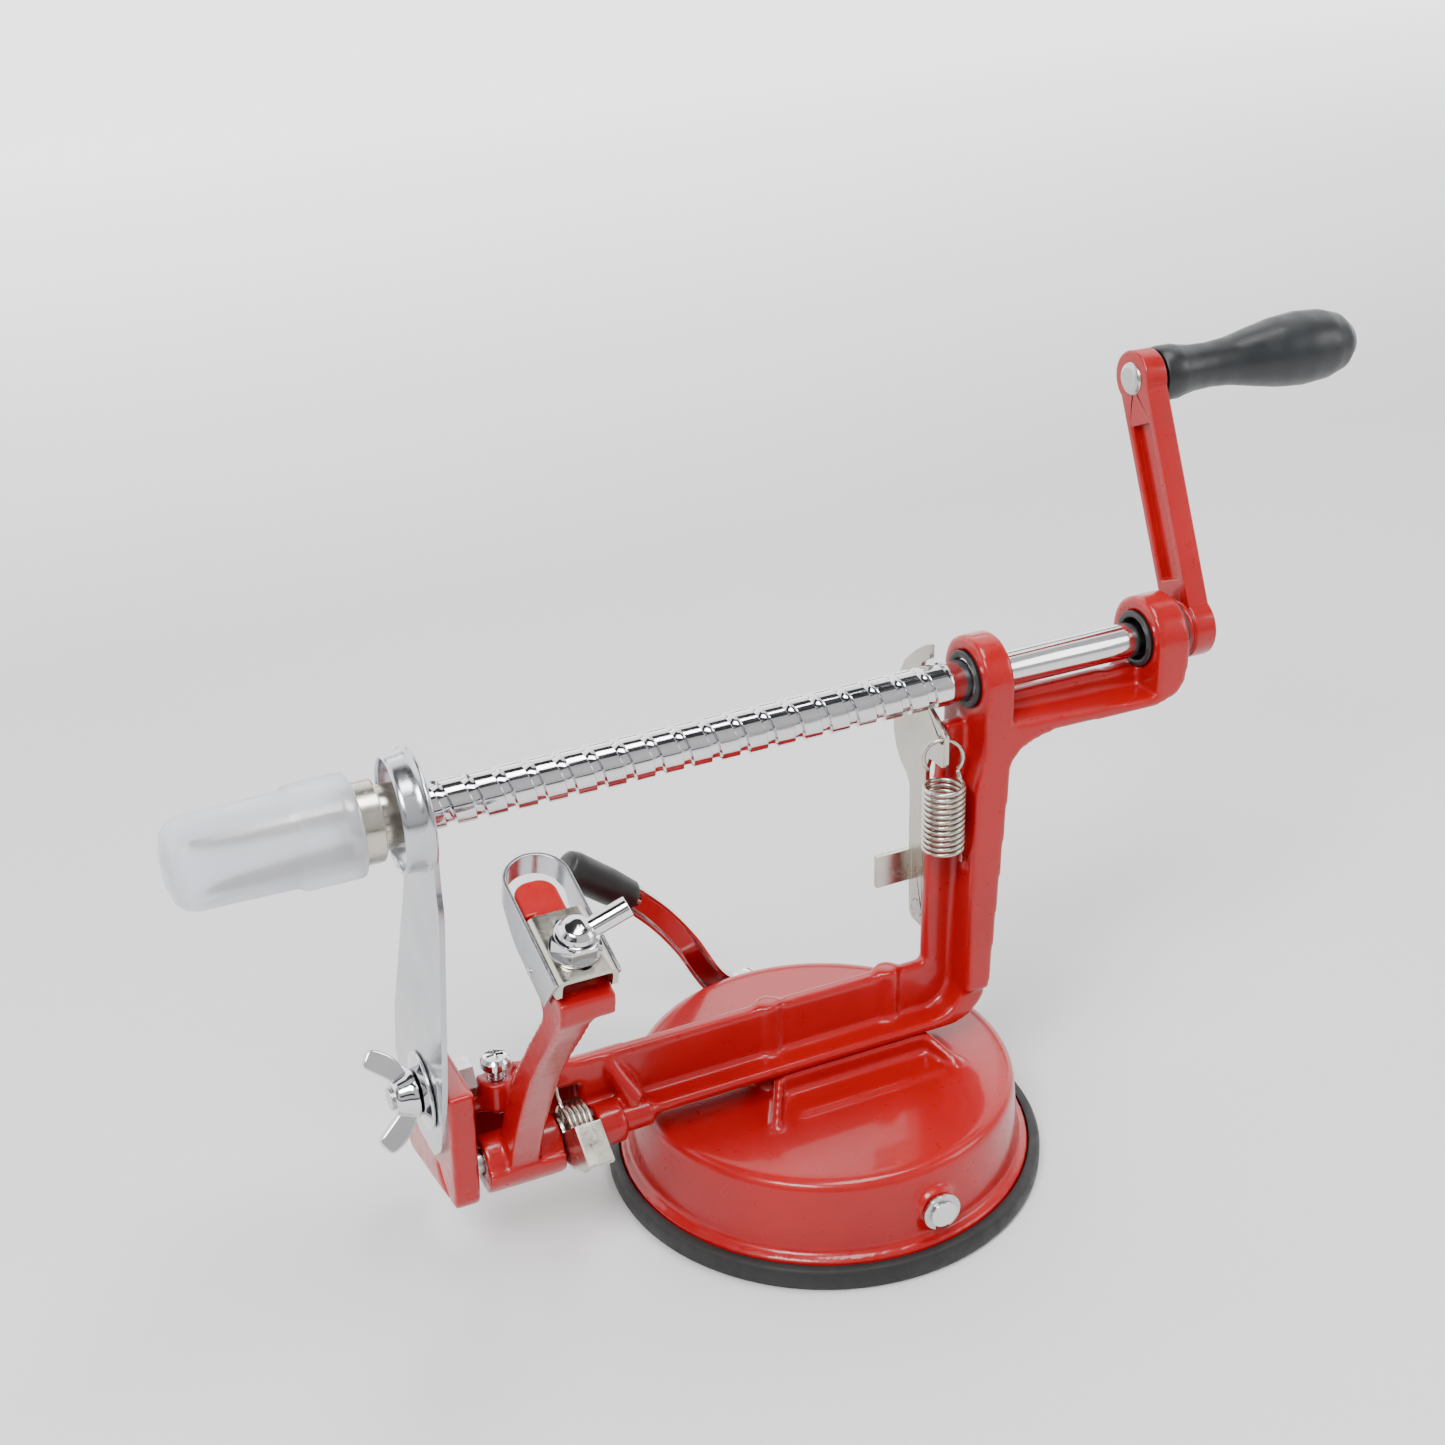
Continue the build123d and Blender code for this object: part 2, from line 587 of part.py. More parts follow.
def peel_nut():
    at = Plane((-74, *on_head(-9.6, 0.08)), x_dir=(1, 0, 0),
               z_dir=(0, -TILT[1], TILT[0]))
    shape = outline([(2.06, 0), (5.0, 0), (5.0, 0.8), (4.2, 0.8),
                     (4.2, 4.2), (3.6, 4.4), (3.5, 5.4), (2.6, 6.3),
                     (1.2, 6.7), (0, 6.7), (0, 2.6), (2.06, 2.6)])
    core = revolve(Plane.XZ * shape, Axis.Z)
    hexagon = extrude(Pos(0, 0, 0.6) * RegularPolygon(4.9, 6), 3.4)
    core += hexagon - cyl_z(0, 0, 0, 5, 3.0)
    rod = Pos(0, 0, 3.4) * Rot(0, 65, 10) * Pos(0, 0, 2.6) \
        * Cylinder(2.0, 8.2, align=(Align.CENTER, Align.CENTER, Align.MIN))
    return at.location * (core + rod)


def slot_shape(width, length, root):
    """Outline (x, t) of a U lying toward the shaft with a round nose."""
    r = width / 2
    nose = arc_points((0, length - r), r, 0, 180, 12)
    return [(r, root)] + nose + [(-r, root)]


def lifted(shape, n0, n1):
    at = Plane((-74, *on_head(0, n0)), x_dir=(1, 0, 0),
               z_dir=(0, -TILT[1], TILT[0]))
    return extrude(at * outline(shape), n1 - n0)


def peel_blade():
    # U strip outside the channel; its round end looks toward the shaft
    strip = lifted(slot_shape(13.2, 16.2, -18), -12, 0)
    strip -= lifted(slot_shape(11.8, 15.5, -20), -13, 1)
    side = [on_head(t, n) for t, n in
            [(-16.4, -0.8), (18, -0.8), (18, -6.4), (12, -6.8),
             (4, -10.6), (-11.4, -11.4), (-12.6, -10.6)]]
    strip &= plate_x(side, -82, -66)
    y, z = on_head(-4.9, -9.5)
    for x in (-80.9, -67.7):
        strip += cyl_x(y, z, x, x + 0.6, 1.0)
    return strip


def peel_nose():
    tip = arc_points((-0.2, 7.4), 3.4, 0, 90, 9)
    tip += arc_points((-1.8, 7.4), 3.4, 90, 180, 9)
    body = lifted([(3.2, 2.3)] + tip + [(-5.2, 2.3)], -7.4, -2.4)
    root = lifted([(-3.3, -3.2), (3.2, -3.2), (3.2, 2.4), (-3.3, 2.4)],
                  -6.25, -2.4)
    return body + root


def peel_spring():
    y, z = PIVOT
    body, near, far = coil((-65.0, y, z), (1, 0, 0), 6.9, 4.6, 5.2, 0.55)
    leg = [near, (-65.2, -3.4, 38.6), (-65.4, -2.6, 42.4),
           (-65.4, -2.4, 45.9)]
    dy, dz = far[1] - y, far[2] - z
    tail = [far, (far[0], far[1] - dz * 0.8, far[2] + dy * 0.8)]
    return Compound(body + [wire(leg, 0.55), wire(tail, 0.55)])


def latch_plate():
    y, z = PIVOT
    body = cyl_x(y, z, -66.8, -65.8, 5.4)
    body += plate_x([(-9.6, 33.8), (-13.1, 36.8), (-17.8, 41.0),
                     (-25.3, 35.7), (-22, 32), (-11.6, 27.2)],
                    -66.8, -65.8)
    body += plate_x([(-17.8, 41.0), (-25.3, 35.7), (-24.7, 34.8),
                     (-17.2, 40.1)], -66.8, -61)
    return body - cyl_x(y, z, -68, -65, PIN_R + FIT)


# ---- coring blade ----
def coring_blade():
    face = plate_x([(-6.5, 36), (10.4, 30), (22, 43), (21.5, 46),
                    (9.6, 92), (7.4, 104.2), (-10.4, 107.5),
                    (-12.3, 104), (-13.5, 57)], -96, -84)
    lean = plate_y([(-92.7, 28), (-91.5, 28), (-91.5, 56.6),
                    (-88.0, 101), (-88.0, 109), (-89.2, 109),
                    (-89.2, 101.1), (-92.7, 57)], -30, 30)
    arm = face & lean
    y, z = 0, SHAFT_Z
    ring = cyl_x(y, z, -94.0, -88.2, RING_R)
    ring += cyl_x(y, z, -89.2, -88.0, RING_R + 0.9)
    body = arm + ring - ring_trim()
    body -= cyl_x(y, z, -96, -84, RING_R - 0.8)
    y, z = BOLT
    r = BOLT_R + FIT
    slot = cyl_x(y + 4, z + 4, -96, -84, r)
    d = r * math.sqrt(0.5)
    slot += plate_x([(y + d, z - d), (y + 4 + d, z + 4 - d),
                     (y + 4 - d, z + 4 + d), (y - d, z + d)], -96, -84)
    return body - slot - cyl_x(y, z, -96, -84, r)


def ring_trim():
    """Trims the ring's front edge so that it is wider toward -Y."""
    at = Plane((0, 0, SHAFT_Z - 11))
    shape = outline([(-100, -20), (-94.1, -20), (-93.2, 12),
                     (-93.0, 20), (-100, 20)])
    return extrude(at * shape, 30)


def blade_bolt():
    y, z = BOLT
    shank = cyl_x(y, z, -100.3, -85.7, BOLT_R)
    at = Plane((-85.75, y, z), x_dir=(0, 1, 0), z_dir=(1, 0, 0))
    head = extrude(at * RegularPolygon(4.4, 6), 3.3)
    for i in range(8):
        x = -100.0 + 0.85 * i
        cut = cyl_x(y, z, x, x + 0.32, 3.2) - cyl_x(y, z, x, x + 0.32, 2.15)
        shank -= cut
    return shank + head


def blade_washer():
    y, z = BOLT
    return turned_x([(-92.75, 2.56), (-92.75, 8.0), (-93.1, 8.5),
                     (-93.6, 8.5), (-94.1, 6.6), (-94.9, 4.2),
                     (-94.9, 2.56)], y, z)


def wing_nut():
    y, z = BOLT
    core = turned_x([(-95.0, 2.56), (-95.0, 5.2), (-96.4, 5.0),
                     (-99.2, 3.9), (-99.5, 3.6), (-99.5, 2.56)], y, z)
    # wings lie in the plane of the bolt axis and flare away from the nut
    wing = [(-96.0, 2.8), (-95.7, 5.4), (-98.4, 8.9), (-99.6, 9.8),
            (-101.6, 11.1), (-102.4, 11.0), (-104.0, 8.5), (-104.0, 7.7),
            (-98.6, 3.2)]
    for turn in (-27, 153):
        flat = plate_y(wing, -1.1, 1.1)
        core += Pos(0, y, z) * flat.rotate(Axis.X, turn)
    return core - cyl_x(y, z, -110, -90, 2.56)


def nodes():
    made = {
        "base_housing": base_housing, "suction_disc": suction_disc,
        "suction_stud": suction_stud, "cam_pin": cam_pin,
        "pin_clip": pin_clip, "suction_lever": suction_lever,
        "lever_grip": lever_grip, "frame_casting": frame_casting,
        "frame_screw_left": lambda: frame_screw(-13.5),
        "frame_screw_right": lambda: frame_screw(16.5),
        "front_bush": lambda: bush(34.7, 43.0, 4.86),
        "rear_bush": lambda: bush(78.7, 87.4, 4.95),
        "pivot_pin": pivot_pin, "release_pivot": release_pivot,
        "stop_screw": stop_screw, "crank_shaft": crank_shaft,
        "fork": fork, "fork_cap": fork_cap,
        "thrust_washer": thrust_washer, "crank_arm": crank_arm,
        "handle_axle": handle_axle, "handle_grip": handle_grip,
        "release_lever": release_lever, "release_spring": release_spring,
        "peel_arm": peel_arm, "peel_head": peel_head,
        "peel_stud": peel_stud, "peel_nut": peel_nut,
        "peel_blade": peel_blade, "peel_nose": peel_nose,
        "peel_spring": peel_spring, "latch_plate": latch_plate,
        "coring_blade": coring_blade, "blade_bolt": blade_bolt,
        "blade_washer": blade_washer, "wing_nut": wing_nut,
    }
    return made


def write_parts():
    os.makedirs("parts", exist_ok=True)
    for name, make in nodes().items():
        shape = make()
        solids = shape.solids()
        body = solids[0] if len(solids) == 1 else shape
        export_step(body, f"parts/{name}.step")
        box = body.bounding_box()
        print(f"{name:18s} solids {len(solids)} valid {body.is_valid}"
              f" vol {body.volume:9.1f}"
              f" x {box.min.X:7.1f} {box.max.X:7.1f}"
              f" y {box.min.Y:6.1f} {box.max.Y:6.1f}"
              f" z {box.min.Z:6.1f} {box.max.Z:6.1f}")


write_parts()
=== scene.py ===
import json
import math

import bmesh
import bpy
from mathutils import Matrix, Vector


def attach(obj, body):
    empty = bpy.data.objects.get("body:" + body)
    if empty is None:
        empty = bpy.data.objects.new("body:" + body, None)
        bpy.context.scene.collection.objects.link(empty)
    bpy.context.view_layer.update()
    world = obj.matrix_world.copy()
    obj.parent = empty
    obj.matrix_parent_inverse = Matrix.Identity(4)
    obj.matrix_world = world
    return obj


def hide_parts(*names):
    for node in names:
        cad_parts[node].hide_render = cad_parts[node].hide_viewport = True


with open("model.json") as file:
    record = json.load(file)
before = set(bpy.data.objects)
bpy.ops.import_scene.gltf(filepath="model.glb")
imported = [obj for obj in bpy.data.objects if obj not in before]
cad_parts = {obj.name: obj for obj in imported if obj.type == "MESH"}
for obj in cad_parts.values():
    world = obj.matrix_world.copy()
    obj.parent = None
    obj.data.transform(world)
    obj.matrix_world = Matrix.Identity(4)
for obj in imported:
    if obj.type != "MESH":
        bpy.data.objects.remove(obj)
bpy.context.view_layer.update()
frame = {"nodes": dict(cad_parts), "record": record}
NODES = frame["nodes"]


# ---------- materials ----------
def material(name):
    m = bpy.data.materials.new(name)
    m.use_nodes = True
    t = m.node_tree
    t.nodes.clear()
    out = t.nodes.new("ShaderNodeOutputMaterial")
    p = t.nodes.new("ShaderNodeBsdfPrincipled")
    t.links.new(p.outputs[0], out.inputs[0])
    return m, t, p


def coords(t, scale=(1, 1, 1)):
    c = t.nodes.new("ShaderNodeTexCoord")
    mp = t.nodes.new("ShaderNodeMapping")
    mp.inputs["Scale"].default_value = scale
    t.links.new(c.outputs["Object"], mp.inputs[0])
    return mp.outputs[0]


def noise(t, at, scale, detail=4.0, rough=0.55):
    n = t.nodes.new("ShaderNodeTexNoise")
    n.inputs["Scale"].default_value = scale
    n.inputs["Detail"].default_value = detail
    n.inputs["Roughness"].default_value = rough
    t.links.new(at, n.inputs["Vector"])
    return n.outputs[0]


def remap(t, value, low, high, a=0.3, b=0.7):
    r = t.nodes.new("ShaderNodeMapRange")
    r.inputs["From Min"].default_value = a
    r.inputs["From Max"].default_value = b
    r.inputs["To Min"].default_value = low
    r.inputs["To Max"].default_value = high
    t.links.new(value, r.inputs["Value"])
    return r.outputs[0]


def ramp(t, value, dark, light):
    """Colour between dark and light over the middle of a noise."""
    r = t.nodes.new("ShaderNodeValToRGB")
    r.color_ramp.elements[0].position = 0.3
    r.color_ramp.elements[0].color = (*dark, 1)
    r.color_ramp.elements[1].position = 0.7
    r.color_ramp.elements[1].color = (*light, 1)
    t.links.new(value, r.inputs[0])
    return r.outputs[0]


def bump(t, p, heights):
    last = None
    for height, strength, distance in heights:
        b = t.nodes.new("ShaderNodeBump")
        b.inputs["Strength"].default_value = strength
        b.inputs["Distance"].default_value = distance
        t.links.new(height, b.inputs["Height"])
        if last is not None:
            t.links.new(last, b.inputs["Normal"])
        last = b.outputs[0]
    t.links.new(last, p.inputs["Normal"])


def paint():
    m, t, p = material("red_paint")
    at = coords(t)
    wide = noise(t, at, 28, 3)
    fine = noise(t, at, 420, 4)
    peel = noise(t, at, 900, 2)
    t.links.new(ramp(t, wide, (0.27, 0.0002, 0.0014), (0.35, 0.0004, 0.0022)),
                p.inputs["Base Color"])
    t.links.new(remap(t, fine, 0.26, 0.40), p.inputs["Roughness"])
    p.inputs["Coat Weight"].default_value = 0.4
    t.links.new(remap(t, wide, 0.05, 0.12), p.inputs["Coat Roughness"])
    p.inputs["Specular IOR Level"].default_value = 0.25
    bump(t, p, [(wide, 0.05, 0.0005), (peel, 0.01, 0.00003)])
    return m


def metal(name, dark, light, r0, r1, grain=(1, 1, 1), scale=160,
          lines=0.04):
    m, t, p = material(name)
    at = coords(t, grain)
    soft = noise(t, coords(t), 60, 3)
    fine = noise(t, at, scale, 6, 0.65)
    t.links.new(ramp(t, soft, dark, light), p.inputs["Base Color"])
    p.inputs["Metallic"].default_value = 1
    t.links.new(remap(t, fine, r0, r1), p.inputs["Roughness"])
    bump(t, p, [(soft, 0.05, 0.0004), (fine, lines, 0.00005)])
    return m


def dark(name, low, high, r0, r1, scale=300, depth=0.15):
    m, t, p = material(name)
    at = coords(t)
    soft = noise(t, at, 45, 3)
    fine = noise(t, at, scale, 5, 0.6)
    t.links.new(ramp(t, soft, low, high), p.inputs["Base Color"])
    t.links.new(remap(t, fine, r0, r1), p.inputs["Roughness"])
    bump(t, p, [(soft, 0.06, 0.0004), (fine, depth, 0.00008)])
    return m


def frosted():
    m, t, p = material("frosted_plastic")
    at = coords(t)
    soft = noise(t, at, 70, 3)
    fine = noise(t, at, 900, 3)
    t.links.new(ramp(t, soft, (0.86, 0.88, 0.93), (0.93, 0.94, 0.98)),
                p.inputs["Base Color"])
    p.inputs["Transmission Weight"].default_value = 0.82
    p.inputs["IOR"].default_value = 1.28
    t.links.new(remap(t, fine, 0.30, 0.42), p.inputs["Roughness"])
    bump(t, p, [(fine, 0.08, 0.00006)])
    return m


MATERIALS = {
    "red_paint": paint(),
    "chrome": metal("chrome", (0.60, 0.60, 0.62), (0.70, 0.70, 0.72),
                    0.05, 0.13, (1, 9, 9), 200, 0.03),
    "nickel_steel": metal("nickel_steel", (0.44, 0.41, 0.36),
                          (0.54, 0.51, 0.45), 0.16, 0.30, scale=260),
    "zinc_steel": metal("zinc_steel", (0.44, 0.44, 0.43),
                        (0.55, 0.55, 0.54), 0.20, 0.36, scale=320),
    "blade_steel": metal("blade_steel", (0.42, 0.43, 0.45),
                         (0.54, 0.55, 0.58), 0.16, 0.28, (8, 8, 0.6),
                         240, 0.06),
    "black_rubber": dark("black_rubber", (0.004, 0.004, 0.004),
                         (0.009, 0.009, 0.009), 0.50, 0.70, 240, 0.15),
    "black_vinyl": dark("black_vinyl", (0.004, 0.004, 0.0045),
                        (0.008, 0.008, 0.009), 0.36, 0.52, 300, 0.08),
    "black_plastic": dark("black_plastic", (0.010, 0.010, 0.011),
                          (0.018, 0.018, 0.019), 0.40, 0.55),
    "handle_plastic": dark("handle_plastic", (0.004, 0.005, 0.006),
                           (0.008, 0.010, 0.012), 0.32, 0.46, 260, 0.06),
    "frosted_plastic": frosted(),
}


def dress(obj, slot):
    obj.data.materials.clear()
    obj.data.materials.append(MATERIALS[slot])


# ---------- the solid pieces ----------
SLOT = {s["node"]: s["material_slot"] for s in frame["record"]["subparts"]}
# voxel size of each casting and edge radius of each machined piece (m)
CAST = {"frame_casting": 0.00062, "peel_arm": 0.0005,
        "base_housing": 0.0007}
EDGE = {"crank_arm": 0.0011, "release_lever": 0.0003,
        "suction_disc": 0.0008, "thrust_washer": 0.0002,
        "stop_screw": 0.0002, "blade_bolt": 0.00015,
        "fork": 0.0003, "latch_plate": 0.0003, "suction_lever": 0.0003,
        "frame_screw_left": 0.0003, "frame_screw_right": 0.0003,
        "blade_washer": 0.0002, "peel_nut": 0.0003,
        "peel_nose": 0.0008, "fork_cap": 0.0004, "pin_clip": 0.0002,
        "cam_pin": 0.0003, "front_bush": 0.0003, "rear_bush": 0.0003,
        "peel_stud": 0.0003}


def soften(obj, width):
    """Rounds the sharp edges of a solid and evens its shading."""
    b = obj.modifiers.new("edge", "BEVEL")
    b.width = width
    b.segments = 3
    b.limit_method = "ANGLE"
    b.angle_limit = math.radians(32)
    b.use_clamp_overlap = True
    w = obj.modifiers.new("normals", "WEIGHTED_NORMAL")
    w.keep_sharp = False


def cast(obj, size):
    """Gives a casting its rounded moulded edges."""
    r = obj.modifiers.new("mould", "REMESH")
    r.mode = "VOXEL"
    r.voxel_size = size
    r.use_smooth_shade = True
    s = obj.modifiers.new("soft", "SMOOTH")
    s.factor = 0.5
    s.iterations = 9


for name, obj in NODES.items():
    dress(obj, SLOT[name])
    weld = obj.modifiers.new("weld", "WELD")
    weld.merge_threshold = 2e-6
    if name in CAST:
        cast(obj, CAST[name])
    elif name in EDGE:
        soften(obj, EDGE[name])


# ---------- geometry helpers (sizes in mm) ----------
MM = 0.001


def piece(name, verts, faces, body, slot, bevel=0.0, segments=2,
          angle=32):
    """New mesh piece that rides on a body; verts and bevel in mm."""
    mesh = bpy.data.meshes.new(name)
    mesh.from_pydata([tuple(c * MM for c in v) for v in verts], [], faces)
    mesh.validate()
    obj = bpy.data.objects.new(name, mesh)
    bpy.context.scene.collection.objects.link(obj)
    bm = bmesh.new()
    bm.from_mesh(mesh)
    bmesh.ops.recalc_face_normals(bm, faces=bm.faces)
    bm.to_mesh(mesh)
    bm.free()
    mesh.shade_smooth()
    mesh.set_sharp_from_angle(angle=math.radians(angle))
    if bevel:
        b = obj.modifiers.new("bevel", "BEVEL")
        b.width = bevel * MM
        b.segments = segments
        b.limit_method = "ANGLE"
        b.angle_limit = math.radians(angle)
        b.harden_normals = True
    dress(obj, slot)
    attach(obj, body)
    return obj


def arc(u, v, r, start, stop, step=15):
    """Points on an arc about (u, v), from start to stop in degrees."""
    return [(u + r * math.cos(math.radians(t)),
             v + r * math.sin(math.radians(t)))
            for t in range(start, stop + 1, step)]


def rounded(points, r, n=4, closed=False):
    """Rounds the corners of a 2-D line."""
    out, count = [], len(points)
    for i, p in enumerate(points):
        if not closed and i in (0, count - 1):
            out.append(p)
            continue
        p = Vector(p)
        a, b = Vector(points[i - 1]), Vector(points[(i + 1) % count])
        ra = min(r, 0.45 * (a - p).length)
        rb = min(r, 0.45 * (b - p).length)
        a, b = p + (a - p).normalized() * ra, p + (b - p).normalized() * rb
        for k in range(n + 1):
            t = k / n
            out.append(tuple(a * (1 - t) ** 2 + p * 2 * t * (1 - t)
                             + b * t * t))
    return out


def frame_at(origin, axis, side):
    """Origin, axis and the two directions square to the axis."""
    a = Vector(axis).normalized()
    u = (Vector(side) - a * Vector(side).dot(a)).normalized()
    return Vector(origin), a, u, a.cross(u)


def lathe(name, profile, origin, axis, side, body, slot, seg=96, **looks):
    """Turned piece from (along, radius) points, closed at both ends."""
    o, a, u, v = frame_at(origin, axis, side)
    closed = profile[0] == profile[-1]
    prof = profile[:-1] if closed else profile
    verts, faces = [], []
    for along, r in prof:
        for k in range(seg):
            t = 2 * math.pi * k / seg
            verts.append(o + a * along
                         + (u * math.cos(t) + v * math.sin(t)) * r)
    rows = len(prof)
    for i in range(rows if closed else rows - 1):
        j = (i + 1) % rows
        for k in range(seg):
            m = (k + 1) % seg
            faces.append((i * seg + k, i * seg + m, j * seg + m,
                          j * seg + k))
    if not closed:
        for row in (0, rows - 1):
            if prof[row][1] > 1e-4:
                faces.append(tuple(row * seg + k for k in range(seg)))
    return piece(name, verts, faces, body, slot, **looks)


def plate(name, shape, place, w0, w1, body, slot, **looks):
    """Flat piece: a 2-D outline put in space by place(u, v, w)."""
    n = len(shape)
    verts = [place(u, v, w0) for u, v in shape]
    verts += [place(u, v, w1) for u, v in shape]
    faces = [tuple(range(n)), tuple(range(2 * n - 1, n - 1, -1))]
    faces += [(i, (i + 1) % n, n + (i + 1) % n, n + i) for i in range(n)]
    return piece(name, verts, faces, body, slot, **looks)


def skin(name, rows, thickness, body, slot, **looks):
    """Sheet through a grid of points, given thickness along its normals."""
    r, c = len(rows), len(rows[0])
    pts = [[Vector(p) for p in row] for row in rows]
    verts = []
    for side in (0.5, -0.5):
        for i in range(r):
            for j in range(c):
                up = pts[min(i + 1, r - 1)][j] - pts[max(i - 1, 0)][j]
                across = pts[i][min(j + 1, c - 1)] - pts[i][max(j - 1, 0)]
                n = up.cross(across).normalized()
                verts.append(pts[i][j] + n * thickness * side)
    faces, m = [], r * c
    for i in range(r - 1):
        for j in range(c - 1):
            a, b = i * c + j, i * c + j + 1
            d, e = (i + 1) * c + j + 1, (i + 1) * c + j
            faces += [(a, b, d, e), (m + e, m + d, m + b, m + a)]
    for i in (0, r - 1):
        for j in range(c - 1):
            a, b = i * c + j, i * c + j + 1
            faces.append((a, b, m + b, m + a))
    for j in (0, c - 1):
        for i in range(r - 1):
            a, b = i * c + j, (i + 1) * c + j
            faces.append((a, b, m + b, m + a))
    return piece(name, verts, faces, body, slot, **looks)


def smooth_line(points, steps=8):
    """Catmull-Rom line through 3-D points."""
    pts = [Vector(p) for p in points]
    pts = [pts[0] * 2 - pts[1]] + pts + [pts[-1] * 2 - pts[-2]]
    out = []
    for i in range(1, len(pts) - 2):
        p0, p1, p2, p3 = pts[i - 1:i + 3]
        for k in range(steps):
            t = k / steps
            out.append(0.5 * (2 * p1 + (p2 - p0) * t
                       + (2 * p0 - 5 * p1 + 4 * p2 - p3) * t * t
                       + (3 * p1 - p0 - 3 * p2 + p3) * t ** 3))
    return out + [pts[-2]]


def tube(name, path, radius, body, slot):
    """Round bar along a path, with its ends drawn in a little."""
    seg = 14
    pts = [Vector(p) for p in path]
    n = len(pts)
    tang = [(pts[min(i + 1, n - 1)] - pts[max(i - 1, 0)]).normalized()
            for i in range(n)]
    u = tang[0].orthogonal().normalized()
    rings = []
    for at, run in zip(pts, tang):
        u = (u - run * u.dot(run)).normalized()
        rings.append((at, u.copy(), run.cross(u), radius))
    drawn, back = radius * 0.6, radius * 0.35
    first, last = rings[0], rings[-1]
    rings.insert(0, (first[0] - tang[0] * back, *first[1:3], drawn))
    rings.append((last[0] + tang[-1] * back, *last[1:3], drawn))
    verts = []
    for at, a, b, r in rings:
        for k in range(seg):
            w = 2 * math.pi * k / seg
            verts.append(at + (a * math.cos(w) + b * math.sin(w)) * r)
    faces = []
    for i in range(len(rings) - 1):
        for k in range(seg):
            m = (k + 1) % seg
            faces.append((i * seg + k, i * seg + m, (i + 1) * seg + m,
                          (i + 1) * seg + k))
    end = (len(rings) - 1) * seg
    faces.append(tuple(range(seg)))
    faces.append(tuple(end + k for k in range(seg)))
    return piece(name, verts, faces, body, slot, angle=60)


def slotted(obj, outline, place, w0, w1, angle, width):
    """Cuts a slot through obj for good, then breaks its sharp edges."""
    tool = plate("slot_tool", outline, place, w0, w1, "base", "chrome")
    b = obj.modifiers.new("cut", "BOOLEAN")
    b.operation = "DIFFERENCE"
    b.solver = "EXACT"
    b.object = tool
    dg = bpy.context.evaluated_depsgraph_get()
    done = bpy.data.meshes.new_from_object(obj.evaluated_get(dg))
    obj.modifiers.clear()
    obj.data = done
    bpy.data.objects.remove(tool)
    obj.data.set_sharp_from_angle(angle=math.radians(angle))
    edge = obj.modifiers.new("bevel", "BEVEL")
    edge.width = width * MM
    edge.segments = 2
    edge.limit_method = "ANGLE"
    edge.angle_limit = math.radians(40)


def in_yz(x0):
    """Places (y, z, depth) on a plane facing X."""
    return lambda u, v, w: Vector((x0 + w, u, v))


# ---------- sizes shared with the solid model ----------
def joint_at(name):
    """Point on a joint's axis."""
    joints = frame["record"]["behaviour"]["joints"]
    at = next(j["pos_m"] for j in joints if j["name"] == name)
    return [round(c / MM, 3) for c in at]


_, _, SHAFT_Z = joint_at("crank_turn")
_, BOLT_Y, BOLT_Z = joint_at("coring_swing")
_, PIVOT_Y, PIVOT_Z = joint_at("peel_swing")
CAM_X, CAM_Y, CAM_Z = joint_at("suction_turn")
PITCH = 6.35            # travel of the shaft in one turn
TOOTH_X = 28.0          # the release lever's tooth sits in a groove here
ALONG_X, ALONG_Y = (1, 0, 0), (0, 1, 0)


# ---------- feed shaft: a right-handed screw ----------
def screw_shaft():
    """Deep helical groove between two plain ends of the shaft."""
    # (share of one pitch, radius) across one land and its groove
    profile = [(0.0, 4.42), (0.02, 4.76), (0.03, 4.8), (0.24, 4.8),
               (0.44, 4.8), (0.653, 4.8), (0.663, 4.76), (0.685, 4.4),
               (0.71, 4.12), (0.80, 4.06), (0.90, 4.06), (0.965, 4.12)]
    groove_middle = 0.8425
    seg, low, high = 96, -87.4, 30.0
    first = math.floor((low - TOOTH_X) / PITCH) - 1
    last = math.ceil((high - TOOTH_X) / PITCH) + 1
    verts, faces = [], []
    for turn in range(first, last):
        for s, r in profile:
            for k in range(seg):
                a = 2 * math.pi * k / seg
                x = TOOTH_X + (turn + s - groove_middle
                               + k / seg) * PITCH
                verts.append((min(max(x, low), high), r * math.cos(a),
                              SHAFT_Z + r * math.sin(a)))
    rows, step = (last - first) * len(profile), len(profile)
    for i in range(rows - 1):
        for k in range(seg - 1):
            faces.append((i * seg + k, i * seg + k + 1,
                          (i + 1) * seg + k + 1, (i + 1) * seg + k))
        if i + step + 1 < rows:
            faces.append((i * seg + seg - 1, (i + step) * seg,
                          (i + step + 1) * seg, (i + 1) * seg + seg - 1))
    thread = piece("shaft_thread", verts, faces, "shaft", "chrome",
                   angle=24)
    ends = [[(-97.0, 0), (-97.0, 3.2), (-96.6, 3.5), (-88.0, 3.5),
             (-87.8, 4.2), (-87.4, 4.5), (-87.0, 4.5), (-86.8, 0)],
            [(29.4, 0), (29.6, 4.78), (30.2, 4.78), (30.7, 4.5),
             (35, 4.5), (35.2, 4.78), (43, 4.78), (43.5, 4.1), (43.7, 4),
             (95.9, 4), (96.4, 3.6), (96.5, 0)]]
    for i, line in enumerate(ends):
        lathe("shaft_end_%d" % i, line, (0, 0, SHAFT_Z), ALONG_X, ALONG_Y,
              "shaft", "chrome", angle=30)
    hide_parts("crank_shaft")


# ---------- coring blade ----------
def along(points, z):
    """Value at height z on a line of (z, value) points."""
    for (z0, v0), (z1, v1) in zip(points, points[1:]):
        if z <= z1:
            return v0 + (v1 - v0) * max(0.0, (z - z0) / (z1 - z0))
    return points[-1][1]


